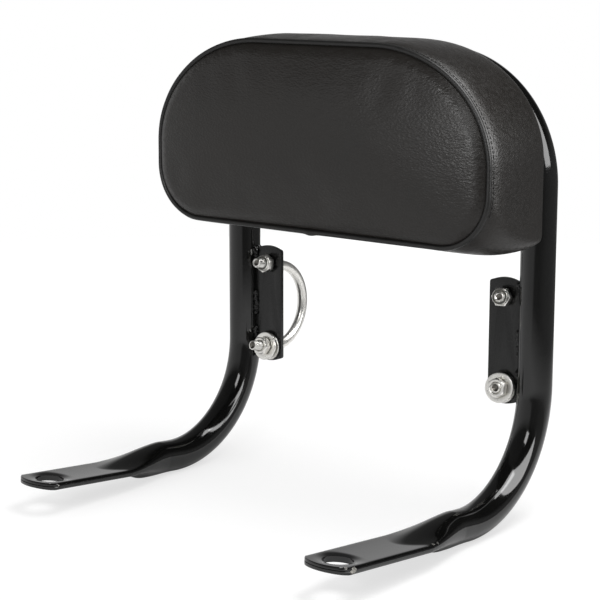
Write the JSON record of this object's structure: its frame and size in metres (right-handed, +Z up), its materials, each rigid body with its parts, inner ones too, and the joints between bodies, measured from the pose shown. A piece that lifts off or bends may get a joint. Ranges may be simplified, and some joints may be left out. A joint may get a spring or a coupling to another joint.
{
  "type": "scooter backrest",
  "caption": "Padded backrest on a bent tube arch whose legs run forward into flattened, punched feet, with clamp plates and U-bolts for a rear grab rail.",
  "frame": {"origin": "on the ground plane under the lowest point of the tube bends, at the centre of the whole part's bounding box seen from above", "axes": "+X to the right as seen from the front, +Y to the rear, so the pad faces -Y and the feet point to -Y, +Z up along the legs"},
  "size_m": [0.3174, 0.2974, 0.3431],
  "materials": {
    "frame_paint": "gloss black stove enamel on steel",
    "zinc_plate": "bright zinc plate",
    "leatherette": "grained black PVC leatherette",
    "piping": "smooth black PVC piping",
    "nylon": "moulded nylon locking ring",
    "foam": "open-cell polyurethane foam",
    "plywood": "raw plywood",
    "lining": "thin black lining cloth"
  },
  "bodies": {
    "root": {"frame_tube": "frame_paint", "left_clamp_plate": "frame_paint", "left_front_large_washer": "zinc_plate", "left_lower_nut": "zinc_plate", "left_rear_large_washer": "zinc_plate", "left_u_bolt": "zinc_plate", "left_upper_lock_ring": "nylon", "left_upper_nut": "zinc_plate", "lower_left_pad_bolt": "zinc_plate", "lower_left_pad_tab": "frame_paint", "lower_left_spring_washer": "zinc_plate", "lower_left_tee_nut": "zinc_plate", "lower_left_washer": "zinc_plate", "lower_right_pad_bolt": "zinc_plate", "lower_right_pad_tab": "frame_paint", "lower_right_spring_washer": "zinc_plate", "lower_right_tee_nut": "zinc_plate", "lower_right_washer": "zinc_plate", "pad_back_lining": "lining", "pad_board": "plywood", "pad_foam": "foam", "pad_front_panel": "leatherette", "pad_piping": "piping", "pad_side_band": "leatherette", "right_clamp_plate": "frame_paint", "right_front_large_washer": "zinc_plate", "right_lower_nut": "zinc_plate", "right_rear_large_washer": "zinc_plate", "right_u_bolt": "zinc_plate", "right_upper_lock_ring": "nylon", "right_upper_nut": "zinc_plate", "upper_left_pad_bolt": "zinc_plate", "upper_left_pad_tab": "frame_paint", "upper_left_spring_washer": "zinc_plate", "upper_left_tee_nut": "zinc_plate", "upper_left_washer": "zinc_plate", "upper_right_pad_bolt": "zinc_plate", "upper_right_pad_tab": "frame_paint", "upper_right_spring_washer": "zinc_plate", "upper_right_tee_nut": "zinc_plate", "upper_right_washer": "zinc_plate"}
  },
  "joints": []
}
